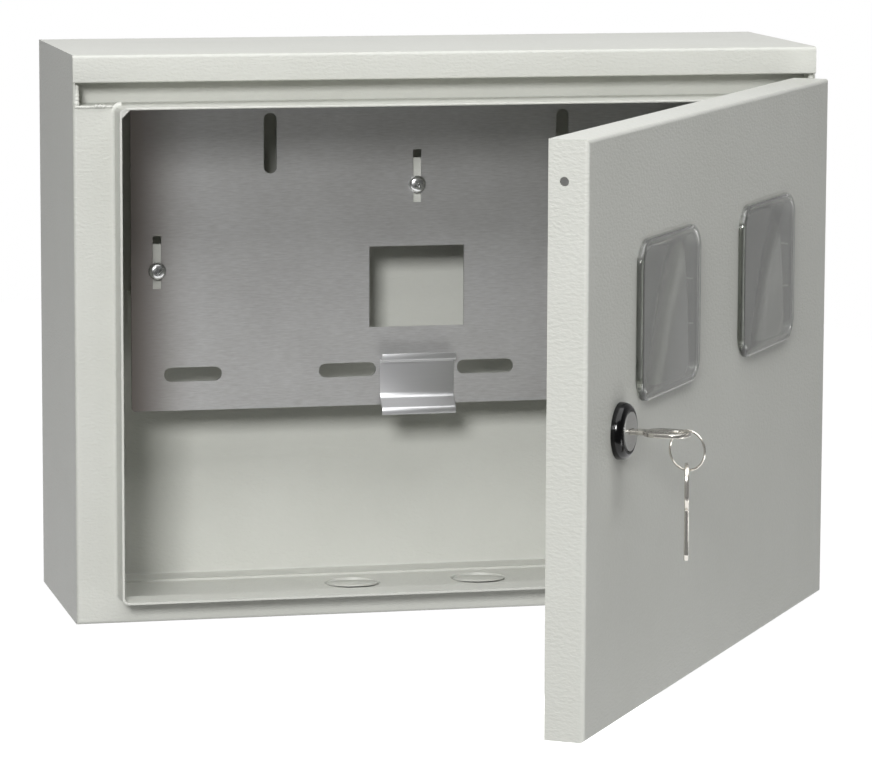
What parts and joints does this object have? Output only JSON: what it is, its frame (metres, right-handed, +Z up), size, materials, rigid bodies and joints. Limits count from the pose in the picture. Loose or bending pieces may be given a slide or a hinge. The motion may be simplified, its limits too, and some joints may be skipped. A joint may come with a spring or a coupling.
{
  "type": "electric meter box",
  "caption": "Wall-hung folded steel box for electric meters: hinged door with clear windows and a key lock, slotted mounting panel and a short device rail inside.",
  "frame": {"origin": "centre of the back face, on the wall", "axes": "+X to the right as seen from the front, +Y back into the wall, +Z up"},
  "size_m": [0.4183, 0.4889, 0.312],
  "materials": {
    "light_grey_paint": "fine powder coat",
    "zinc_plate": "zinc plated",
    "lock_metal": "satin plated die casting",
    "nickel_plate": "bright nickel",
    "foam_seal": "soft foam",
    "clear_plastic": "clear moulded",
    "black_plastic": "glossy"
  },
  "bodies": {
    "case": {"front_shell": "light_grey_paint", "hood_roof": "light_grey_paint", "back_tray": "light_grey_paint", "bracket_left": "light_grey_paint", "bracket_right": "light_grey_paint", "bracket_top": "light_grey_paint", "mounting_panel": "zinc_plate", "panel_screws": "zinc_plate", "din_rail": "zinc_plate", "box_hinge_leaf_upper": "light_grey_paint", "box_hinge_leaf_lower": "light_grey_paint", "hinge_pin_upper": "zinc_plate", "hinge_pin_lower": "zinc_plate"},
    "door": {"door_panel": "light_grey_paint", "door_gasket": "foam_seal", "window_left": "clear_plastic", "window_right": "clear_plastic", "lock_body": "lock_metal", "lock_bezel": "black_plastic", "lock_nut": "zinc_plate", "door_hinge_leaf_upper": "light_grey_paint", "door_hinge_leaf_lower": "light_grey_paint"},
    "lock_core": {"lock_cylinder": "lock_metal", "lock_cam": "zinc_plate", "cam_screw": "zinc_plate"},
    "inserted_key": {"key": "nickel_plate"},
    "ring": {"key_ring": "nickel_plate"},
    "hanging_key": {"spare_key": "nickel_plate"}
  },
  "joints": [
    {"name": "door_swing", "type": "hinge", "parent": "case", "child": "door", "pos_m": [0.2005, -0.145, 0], "axis": [0, 0, 1], "range_deg": [-56.5, 53.5]},
    {"name": "lock_turn", "type": "hinge", "parent": "door", "child": "lock_core", "pos_m": [0.00958, -0.44795, -0.0065], "axis": [0.8339, -0.5519, 0], "range_deg": [-90, 0]},
    {"name": "key_withdraw", "type": "slide", "parent": "lock_core", "child": "inserted_key", "axis": [0.8339, -0.5519, 0], "range_m": [0, 0.025]},
    {"name": "ring_swing", "type": "hinge", "parent": "inserted_key", "child": "ring", "pos_m": [0.0381, -0.46682, -0.0065], "axis": [-0.7133, -0.7009, 0], "range_deg": [-4, 12]},
    {"name": "spare_key_swing", "type": "hinge", "parent": "ring", "child": "hanging_key", "pos_m": [0.0381, -0.46682, -0.0236], "axis": [0.7009, -0.7133, 0], "range_deg": [-35, 35]}
  ]
}
